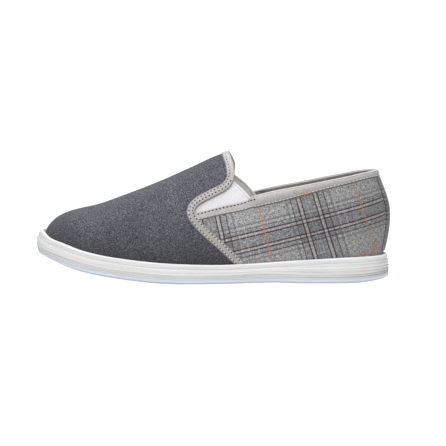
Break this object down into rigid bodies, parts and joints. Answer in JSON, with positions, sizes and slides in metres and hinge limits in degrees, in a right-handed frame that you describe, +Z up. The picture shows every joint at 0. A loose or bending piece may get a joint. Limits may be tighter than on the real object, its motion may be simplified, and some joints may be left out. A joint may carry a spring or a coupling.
{
  "type": "slip-on canvas shoe",
  "caption": "Low slip-on canvas shoe for the left foot: canvas vamp, checked quarter, elastic side panels, taped edges and a ribbed rubber cupsole.",
  "frame": {"origin": "centre of the bounding box at the floor, on the underside of the sole", "axes": "+X from the toe to the heel, +Y from the outer side of the foot to its inner side, +Z up"},
  "size_m": [0.2814, 0.1004, 0.1022],
  "materials": {
    "cool_rubber": "smooth",
    "white_rubber": "matte",
    "footbed": "woven",
    "canvas": "woven",
    "elastic": "ribbed",
    "tape": "woven",
    "check_cloth": "woven"
  },
  "bodies": {
    "root": {"outsole": "cool_rubber", "midsole": "white_rubber", "insole": "footbed", "upper": "canvas", "gore_outer": "elastic", "gore_inner": "elastic", "vamp_tape": "tape", "collar_tape": "tape", "back_strip": "check_cloth"}
  },
  "joints": []
}
